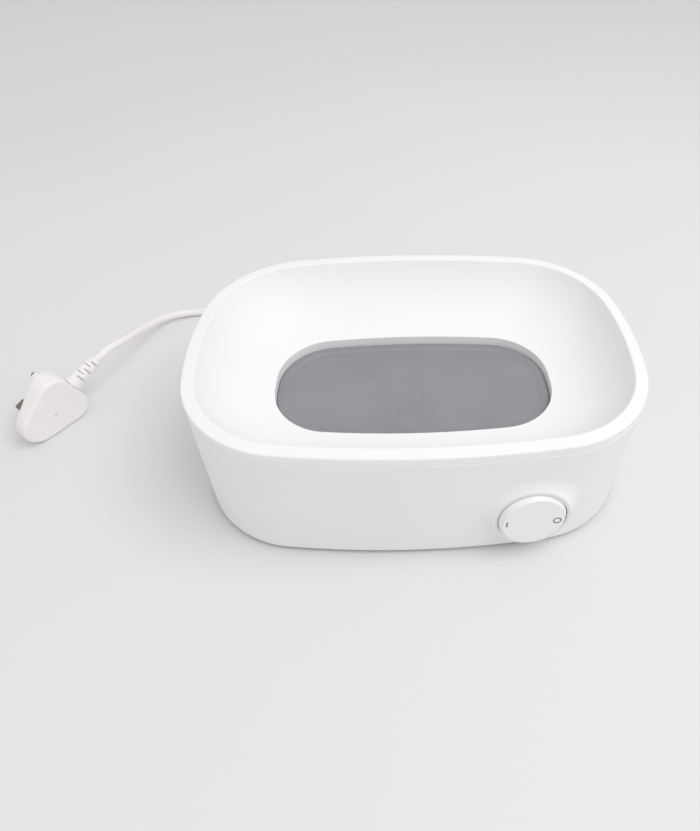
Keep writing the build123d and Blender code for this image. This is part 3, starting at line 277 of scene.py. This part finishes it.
def arc(x, y, radius, start, end):
    """Points along an arc, about one for each five degrees."""
    steps = max(2, round(math.degrees(end - start) / 5))
    angles = [start + (end - start) * step / steps for step in range(steps + 1)]
    return [(x + radius * math.cos(angle), y + radius * math.sin(angle)) for angle in angles]


def pin_face(x):
    """Height of the plug's pin side over its back: thick at the cord, thin at the nose."""
    share = (x + NOSE_RADIUS) / (NOSE_RADIUS + HEEL_OUT + HEEL_RADIUS)
    return NOSE_THICKNESS + (HEEL_THICKNESS - NOSE_THICKNESS) * share


def make_plug_shell(material):
    """Moulded plug: rounded triangle that tapers to its nose, with rounded edges."""
    mesh = bmesh.new()
    corners = [mesh.verts.new((x, y, 0)) for x, y in plug_outline()]
    back = mesh.faces.new(corners)
    raised = bmesh.ops.extrude_face_region(mesh, geom=[back])
    top = [item for item in raised["geom"] if isinstance(item, bmesh.types.BMVert)]
    for vert in top:
        vert.co.z = pin_face(vert.co.x)
    bmesh.ops.recalc_face_normals(mesh, faces=mesh.faces)
    round_loop(mesh, lambda vert: vert.co.z > 1 * MM, PIN_EDGE)
    round_loop(mesh, lambda vert: vert.co.z < 0.01 * MM, BACK_EDGE)
    bmesh.ops.transform(mesh, matrix=plug_frame(), verts=mesh.verts)
    shell = finish_piece("plug_shell", mesh, material, "base", smooth=True)
    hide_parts("plug_body")
    return shell


def round_loop(mesh, chosen, radius):
    """Rounds the edges between the side wall and the end face whose corners are chosen."""
    edges = [
        edge
        for edge in mesh.edges
        if all(chosen(vert) for vert in edge.verts) and any(len(face.verts) > 8 for face in edge.link_faces)
    ]
    bmesh.ops.bevel(
        mesh,
        geom=edges,
        offset=radius,
        affect="EDGES",
        segments=5,
        profile=0.5,
        material=-1,
        clamp_overlap=True,
    )


def make_pin(name, node, place, size, material):
    """Flat pin with bevelled edges, standing out of the plug's pin side."""
    mesh = bmesh.new()
    bmesh.ops.create_cube(mesh, size=1.0)
    length = size[2] + PIN_ROOT
    bmesh.ops.scale(mesh, verts=mesh.verts, vec=(size[0], size[1], length))
    bmesh.ops.bevel(
        mesh, geom=mesh.edges, offset=PIN_BEVEL, affect="EDGES", segments=4, profile=0.5, material=-1
    )
    level = pin_face(place[0]) - PIN_ROOT + length / 2
    bmesh.ops.translate(mesh, verts=mesh.verts, vec=(*place, level))
    bmesh.ops.transform(mesh, matrix=plug_frame(), verts=mesh.verts)
    pin = finish_piece(name, mesh, material, "base")
    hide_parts(node)
    return pin


def make_sleeve(name, place, material):
    """White sleeve moulded round a line pin, all but its tip."""
    length = LINE_PIN[2] - BARE_TIP + PIN_ROOT
    mesh = bmesh.new()
    bmesh.ops.create_cube(mesh, size=1.0)
    sides = (LINE_PIN[0] + 2 * SLEEVE_WALL, LINE_PIN[1] + 2 * SLEEVE_WALL, length)
    bmesh.ops.scale(mesh, verts=mesh.verts, vec=sides)
    bmesh.ops.bevel(
        mesh, geom=mesh.edges, offset=SLEEVE_EDGE, affect="EDGES", segments=3, profile=0.5, material=-1
    )
    level = pin_face(place[0]) - PIN_ROOT + length / 2
    bmesh.ops.translate(mesh, verts=mesh.verts, vec=(*place, level))
    bmesh.ops.transform(mesh, matrix=plug_frame(), verts=mesh.verts)
    return finish_piece(name, mesh, material, "base")


def make_boot(material):
    """Tapered boot with slots from two sides by turns."""
    mesh = bmesh.new()
    bmesh.ops.create_cone(
        mesh,
        cap_ends=True,
        segments=48,
        radius1=BOOT_ROOT_RADIUS,
        radius2=BOOT_TIP_RADIUS,
        depth=BOOT_LENGTH,
    )
    bmesh.ops.translate(mesh, verts=mesh.verts, vec=(0, 0, BOOT_LENGTH / 2))
    pitch = BOOT_LENGTH / (SLOTS + 2)
    levels = [pitch * (slot + 1.9) for slot in range(SLOTS)]
    for level in levels:
        for height in (level, level + SLOT_WIDTH):
            everything = mesh.verts[:] + mesh.edges[:] + mesh.faces[:]
            bmesh.ops.bisect_plane(mesh, geom=everything, plane_co=(0, 0, height), plane_no=(0, 0, 1))
    for index, level in enumerate(levels):
        side = math.radians(SLOT_SIDES[index % 2])
        half = math.radians(SLOT_HALF_TURN)
        cut = [
            face
            for face in mesh.faces
            if level < face.calc_center_median().z < level + SLOT_WIDTH and off_angle(face, side) < half
        ]
        bmesh.ops.inset_region(mesh, faces=cut, thickness=0, depth=-SLOT_DEPTH)
    bmesh.ops.transform(mesh, matrix=boot_frame(), verts=mesh.verts)
    boot = finish_piece("plug_strain_boot", mesh, material, "base")
    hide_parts("plug_boot")
    return boot


def off_angle(face, side):
    """Angle round the boot's axis between a face and a direction."""
    place = face.calc_center_median()
    turn = math.atan2(place.y, place.x) - side
    return abs((turn + math.pi) % math.tau - math.pi)


def make_fuse_cover(material):
    """Cover over the fuse, flush with the pin side between the pins."""
    mesh = bmesh.new()
    bmesh.ops.create_cube(mesh, size=1.0)
    bmesh.ops.scale(mesh, verts=mesh.verts, vec=FUSE_COVER)
    bmesh.ops.bevel(
        mesh, geom=mesh.edges, offset=FUSE_COVER_EDGE, affect="EDGES", segments=2, profile=0.5, material=-1
    )
    tilt = math.atan2(HEEL_THICKNESS - NOSE_THICKNESS, NOSE_RADIUS + HEEL_OUT + HEEL_RADIUS)
    level = pin_face(FUSE_COVER_X) - FUSE_COVER_SINK
    place = Matrix.Translation((FUSE_COVER_X, 0, level)) @ Matrix.Rotation(-tilt, 4, "Y")
    bmesh.ops.transform(mesh, matrix=plug_frame() @ place, verts=mesh.verts)
    cover = finish_piece("fuse_cover", mesh, material, "base")
    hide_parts("fuse_carrier", "cartridge_fuse")
    return cover


def gate_frame():
    """Matrix of the moulding mark on the plug's back."""
    return plug_frame() @ Matrix.Translation((*GATE_PLACE, 0))


def make_gate_mark(material):
    """Small moulding mark in the middle of the plug's back: a low ring."""
    mesh = ring_mesh(GATE_INNER, GATE_OUTER, -GATE_STAND, GATE_SINK)
    bmesh.ops.transform(mesh, matrix=gate_frame(), verts=mesh.verts)
    return finish_piece("plug_gate_mark", mesh, material, "base")


def make_gate_pit():
    """Dark grey bottom of the pit in the middle of the moulding mark: painted shade of the recess, with a
    dull finish.
    """
    mesh = bmesh.new()
    bmesh.ops.create_cone(
        mesh, cap_ends=True, segments=24, radius1=PIT_RADIUS, radius2=PIT_RADIUS, depth=PIT_DEPTH
    )
    bmesh.ops.transform(mesh, matrix=gate_frame(), verts=mesh.verts)
    # The dark grey here is painted shade standing in for the shadow inside the small pit of the white plug.
    dull = soft_rubber("gate_pit_painted_shade", grey(0.20), grey(0.26), 0.7)
    return finish_piece("plug_gate_pit", mesh, dull, "base")


def make_plug():
    """Every piece of the plug."""
    white = moulded_plastic("plug_white", (0.90, 0.865, 0.87), (0.88, 0.845, 0.85), 0.36)
    metal = bright_metal("pin_metal", (0.20, 0.19, 0.16), (0.30, 0.285, 0.245), 0.36)
    sheath = cord_sheath()
    return [
        make_plug_shell(white),
        make_gate_mark(white),
        make_gate_pit(),
        make_sleeve("plug_live_sleeve", (PIN_LINE, PIN_HALF_PITCH), white),
        make_sleeve("plug_neutral_sleeve", (PIN_LINE, -PIN_HALF_PITCH), white),
        make_fuse_cover(white),
        make_boot(sheath),
        make_pin("plug_earth_pin", "earth_pin", (PIN_LINE - PIN_PITCH, 0), EARTH_PIN, metal),
        make_pin("plug_live_pin", "live_pin", (PIN_LINE, PIN_HALF_PITCH), LINE_PIN, metal),
        make_pin("plug_neutral_pin", "neutral_pin", (PIN_LINE, -PIN_HALF_PITCH), LINE_PIN, metal),
    ]


def ring_mesh(inner, outer, bottom, top):
    """Flat ring of square section about Z."""
    mesh = bmesh.new()
    corners = [(inner, bottom), (outer, bottom), (outer, top), (inner, top)]
    section = [mesh.verts.new((x, 0, z)) for x, z in corners]
    edges = [mesh.edges.new((section[i], section[(i + 1) % 4])) for i in range(4)]
    bmesh.ops.spin(
        mesh, geom=section + edges, cent=(0, 0, 0), axis=(0, 0, 1), angle=math.tau, steps=48, use_merge=True
    )
    bmesh.ops.recalc_face_normals(mesh, faces=mesh.faces)
    return mesh


def finish_piece(name, mesh, material, body, smooth=False):
    """Turns a bmesh into a piece that rides on a body."""
    for face in mesh.faces:
        face.smooth = smooth and len(face.verts) < 8
    data = bpy.data.meshes.new(name)
    mesh.to_mesh(data)
    mesh.free()
    piece = bpy.data.objects.new(name, data)
    bpy.context.collection.objects.link(piece)
    data.materials.append(material)
    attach(piece, body)
    return piece


class Material:
    """A node material under construction, with its shader and its Object coordinates."""

    def __init__(self, name):
        self.material = bpy.data.materials.new(name)
        self.material.use_nodes = True
        self.tree = self.material.node_tree
        self.shader = self.tree.nodes["Principled BSDF"]
        self.place = self.node("ShaderNodeTexCoord").outputs["Object"]

    def node(self, kind, **settings):
        made = self.tree.nodes.new(kind)
        for key, value in settings.items():
            setattr(made, key, value)
        return made

    def link(self, start, end):
        self.tree.links.new(start, end)

    def noise(self, scale, detail=2.0, roughness=0.5):
        made = self.node("ShaderNodeTexNoise")
        made.inputs["Scale"].default_value = scale
        made.inputs["Detail"].default_value = detail
        made.inputs["Roughness"].default_value = roughness
        self.link(self.place, made.inputs["Vector"])
        return made.outputs["Fac"]

    def ramp(self, fac, low, high, start=0.0, end=1.0):
        made = self.node("ShaderNodeValToRGB")
        made.color_ramp.elements[0].color = (*low, 1)
        made.color_ramp.elements[0].position = start
        made.color_ramp.elements[1].color = (*high, 1)
        made.color_ramp.elements[1].position = end
        self.link(fac, made.inputs["Fac"])
        return made.outputs["Color"]

    def spread(self, fac, low, high):
        made = self.node("ShaderNodeMapRange")
        made.inputs["To Min"].default_value = low
        made.inputs["To Max"].default_value = high
        self.link(fac, made.inputs["Value"])
        return made.outputs["Result"]

    def bump(self, fac, strength, distance, under=None):
        made = self.node("ShaderNodeBump")
        made.inputs["Strength"].default_value = strength
        made.inputs["Distance"].default_value = distance
        self.link(fac, made.inputs["Height"])
        if under is not None:
            self.link(under, made.inputs["Normal"])
        return made.outputs["Normal"]

    def set(self, **values):
        for key, value in values.items():
            self.shader.inputs[key.replace("_", " ")].default_value = value


def moulded_plastic(name, tone, shade, roughness, grain=0.10, gloss=0.5):
    """Moulded plastic: faint mottling, a fine spark texture and slight unevenness of gloss."""
    made = Material(name)
    mottle = made.noise(14.0, detail=4.0)
    made.link(made.ramp(mottle, shade, tone, 0.3, 0.7), made.shader.inputs["Base Color"])
    patches = made.noise(60.0, detail=3.0)
    made.link(made.spread(patches, roughness - 0.04, roughness + 0.05), made.shader.inputs["Roughness"])
    spark = made.noise(2600.0, detail=1.0)
    wave = made.bump(made.noise(9.0, detail=1.0), 0.05, 0.002)
    made.link(made.bump(spark, grain, 0.00012, under=wave), made.shader.inputs["Normal"])
    made.set(IOR=1.46)
    made.shader.inputs["Specular IOR Level"].default_value = gloss
    return made.material


def grey(value, blue=0.0):
    return (value, value, value + blue)


def shell_white():
    return moulded_plastic("bowl_white_satin", grey(0.90), grey(0.885), 0.50, gloss=0.35)


def casing_white():
    return moulded_plastic("casing_white_satin", grey(0.87), grey(0.855), 0.42)


def button_white():
    return moulded_plastic("button_white_satin", grey(0.88), grey(0.865), 0.38)


def base_white():
    return moulded_plastic("base_cover_white", grey(0.72), grey(0.70), 0.55, grain=0.2)


def ring_milky():
    """Milky translucent plastic of the ring round the rocker."""
    made = Material("ring_milky_plastic")
    made.link(made.ramp(made.noise(40.0), grey(0.74), grey(0.78)), made.shader.inputs["Base Color"])
    made.link(made.spread(made.noise(90.0), 0.25, 0.32), made.shader.inputs["Roughness"])
    made.shader.inputs["Subsurface Weight"].default_value = 0.25
    made.shader.inputs["Subsurface Radius"].default_value = (0.002, 0.002, 0.002)
    made.link(made.bump(made.noise(900.0), 0.04, 0.0001), made.shader.inputs["Normal"])
    return made.material


def plate_coating():
    """Matte grey coating of the heating plate, with fine speckle and faint water marks."""
    made = Material("plate_grey_coating")
    stains = made.noise(22.0, detail=6.0, roughness=0.6)
    speckle = made.noise(1400.0, detail=2.0)
    tone = made.ramp(stains, (0.255, 0.262, 0.285), (0.285, 0.292, 0.315), 0.35, 0.7)
    fine = made.ramp(speckle, grey(0.90), grey(1.06), 0.35, 0.65)
    mix = made.node("ShaderNodeMix", data_type="RGBA", blend_type="MULTIPLY")
    mix.inputs["Factor"].default_value = 1.0
    made.link(tone, mix.inputs[6])
    made.link(fine, mix.inputs[7])
    made.link(mix.outputs[2], made.shader.inputs["Base Color"])
    made.link(made.spread(stains, 0.40, 0.52), made.shader.inputs["Roughness"])
    made.set(Metallic=0.0)
    made.link(made.bump(speckle, 0.18, 0.00012), made.shader.inputs["Normal"])
    return made.material


def bright_metal(name, low, high, roughness):
    """Plated or drawn metal with fine drawing lines and dull patches."""
    made = Material(name)
    lines = made.node("ShaderNodeTexNoise")
    stretch = made.node("ShaderNodeMapping")
    stretch.inputs["Scale"].default_value = (1.0, 1.0, 12.0)
    made.link(made.place, stretch.inputs["Vector"])
    made.link(stretch.outputs["Vector"], lines.inputs["Vector"])
    lines.inputs["Scale"].default_value = 380.0
    made.link(made.ramp(made.noise(70.0, 4.0), low, high), made.shader.inputs["Base Color"])
    gloss = made.spread(lines.outputs["Fac"], roughness - 0.06, roughness + 0.08)
    made.link(gloss, made.shader.inputs["Roughness"])
    made.link(made.bump(lines.outputs["Fac"], 0.08, 0.0001), made.shader.inputs["Normal"])
    made.set(Metallic=1.0)
    return made.material


def soft_rubber(name, low, high, roughness=0.6):
    """Rubber or soft plastic with a fine matte skin."""
    made = Material(name)
    made.link(made.ramp(made.noise(45.0, 4.0), low, high, 0.3, 0.7), made.shader.inputs["Base Color"])
    gloss = made.spread(made.noise(120.0), roughness - 0.05, roughness + 0.06)
    made.link(gloss, made.shader.inputs["Roughness"])
    made.link(made.bump(made.noise(1500.0, 1.0), 0.15, 0.0001), made.shader.inputs["Normal"])
    return made.material


def cord_sheath():
    """Soft white sheath of the lead, very slightly pink."""
    return soft_rubber("cord_white_sheath", (0.86, 0.83, 0.83), (0.90, 0.87, 0.87), 0.45)


def mark_ink():
    """Dark grey ink of the two switch marks."""
    made = Material("switch_mark_ink")
    made.link(made.ramp(made.noise(600.0), grey(0.075), grey(0.10)), made.shader.inputs["Base Color"])
    made.link(made.spread(made.noise(300.0), 0.4, 0.5), made.shader.inputs["Roughness"])
    return made.material


def lamp_amber():
    """Small neon lamp's glass."""
    made = Material("lamp_amber_glass")
    tone = made.ramp(made.noise(200.0), (0.85, 0.55, 0.35), (0.9, 0.62, 0.4))
    made.link(tone, made.shader.inputs["Base Color"])
    made.set(Roughness=0.1)
    made.shader.inputs["Transmission Weight"].default_value = 0.6
    return made.material


def dress(material, *names):
    """Gives nodes of the frame a material."""
    for name in names:
        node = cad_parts[name]
        node.data.materials.clear()
        node.data.materials.append(material)


def dress_all():
    metal = bright_metal("zinc_plated_steel", grey(0.52), grey(0.62), 0.30)
    brass = bright_metal("pin_brass", (0.60, 0.50, 0.32), (0.70, 0.60, 0.42), 0.28)
    nylon = moulded_plastic("natural_nylon", (0.76, 0.73, 0.66), (0.72, 0.69, 0.62), 0.45)
    dress(shell_white(), "bowl_housing")
    dress(casing_white(), "outer_casing")
    dress(button_white(), "rocker_button")
    dress(base_white(), "base_cover")
    dress(ring_milky(), "light_ring")
    dress(plate_coating(), "heating_plate")
    dress(
        metal,
        "clamp_ring",
        "clamp_screws",
        "thermostat_bracket",
        "thermal_fuse",
        "rocker_pin",
        "switch_screws",
        "base_screws",
        "cord_clamp_screws",
        "element_pins",
    )
    dress(bright_metal("element_sheath", grey(0.38), grey(0.46), 0.45), "heating_element")
    dress(brass, "switch_terminals", "earth_pin", "live_pin", "neutral_pin")
    dress(soft_rubber("seal_silicone", grey(0.70), grey(0.75), 0.4), "plate_seal")
    dress(soft_rubber("foot_rubber", grey(0.32), grey(0.36), 0.7), "feet")
    dress(moulded_plastic("switch_black", grey(0.03), grey(0.025), 0.4), "switch_body")
    dress(nylon, "switch_slider", "terminal_block", "cord_clamp")
    steatite = moulded_plastic("steatite_body", (0.72, 0.69, 0.62), (0.68, 0.65, 0.6), 0.3)
    dress(steatite, "thermostat", "cartridge_fuse")
    dress(cord_sheath(), "cord_gland", "cord_inner", "plug_boot")
    dress(moulded_plastic("carrier_white", grey(0.85), grey(0.83), 0.4), "plug_body", "fuse_carrier")
    dress(soft_rubber("wire_brown", (0.18, 0.08, 0.04), (0.22, 0.10, 0.05)), "wire_live", "wire_switched")
    dress(soft_rubber("wire_blue", (0.05, 0.14, 0.42), (0.07, 0.17, 0.48)), "wire_neutral")
    dress(soft_rubber("wire_green", (0.16, 0.42, 0.08), (0.20, 0.48, 0.10)), "wire_earth")
    dress(lamp_amber(), "indicator_lamp")


def rocker_frame():
    """Matrix of the rocker's face at rest: x to the right, y up, z out of the face."""
    turn = Matrix.Rotation(math.radians(BOSS_TURN), 4, "Z")
    tilt = Matrix.Rotation(math.radians(90 - BOSS_TILT), 4, "X")
    boss = Matrix.Translation(BOSS_PLACE) @ turn @ tilt
    rest = Matrix.Rotation(math.radians(ROCKER_REST), 4, "Y")
    pin = Matrix.Translation((0, 0, ROCKER_PIN))
    return boss @ pin @ rest @ Matrix.Translation((0, 0, ROCKER_FACE - ROCKER_PIN))


def make_on_mark(ink):
    """Upright bar near the rocker's left edge, a thin raised print."""
    mesh = bmesh.new()
    bmesh.ops.create_cube(mesh, size=1.0)
    bmesh.ops.scale(mesh, verts=mesh.verts, vec=ON_MARK)
    bmesh.ops.bevel(
        mesh, geom=mesh.edges, offset=ON_EDGE, affect="EDGES", segments=2, profile=0.5, material=-1
    )
    bmesh.ops.translate(mesh, verts=mesh.verts, vec=ON_PLACE)
    bmesh.ops.transform(mesh, matrix=rocker_frame(), verts=mesh.verts)
    return finish_piece("on_mark", mesh, ink, "rocker")


def make_off_mark(ink):
    """Ring near the rocker's right edge, a thin raised print."""
    mesh = ring_mesh(OFF_INNER, OFF_OUTER, -OFF_SINK, OFF_STAND)
    bmesh.ops.translate(mesh, verts=mesh.verts, vec=OFF_PLACE)
    bmesh.ops.transform(mesh, matrix=rocker_frame(), verts=mesh.verts)
    return finish_piece("off_mark", mesh, ink, "rocker")


def make_floor():
    """Pale plain floor."""
    mesh = bmesh.new()
    bmesh.ops.create_grid(mesh, x_segments=4, y_segments=4, size=FLOOR_HALF)
    data = bpy.data.meshes.new("floor")
    mesh.to_mesh(data)
    mesh.free()
    floor = bpy.data.objects.new("floor", data)
    bpy.context.collection.objects.link(floor)
    made = Material("floor_pale")
    made.link(made.ramp(made.noise(2.2, 3.0), grey(0.75), grey(0.78)), made.shader.inputs["Base Color"])
    made.set(Roughness=0.9)
    data.materials.append(made.material)


def make_lights():
    """Soft daylight: a pale warm surrounding light and a cooler window light high on the right."""
    world = bpy.data.worlds.new("sky")
    bpy.context.scene.world = world
    world.use_nodes = True
    sky = world.node_tree.nodes["Background"]
    sky.inputs["Color"].default_value = SKY_COLOUR
    sky.inputs["Strength"].default_value = SKY_STRENGTH
    area_light("window", WINDOW_PLACE, WINDOW_TARGET, WINDOW_SIZE, WINDOW_POWER, WINDOW_COLOUR)


def area_light(name, place, target, size, power, colour):
    data = bpy.data.lights.new(name, "AREA")
    data.shape = "DISK"
    data.size = size
    data.energy = power
    data.color = colour
    light = bpy.data.objects.new(name, data)
    bpy.context.collection.objects.link(light)
    light.location = place
    way = Vector(target) - Vector(place)
    light.rotation_euler = way.to_track_quat("-Z", "Y").to_euler()


make_camera()
lead = make_cord(make_plug())
lead.data.materials.append(cord_sheath())
dress_all()
ink = mark_ink()
make_on_mark(ink)
make_off_mark(ink)
make_floor()
make_lights()
bpy.context.scene.view_settings.view_transform = "Standard"
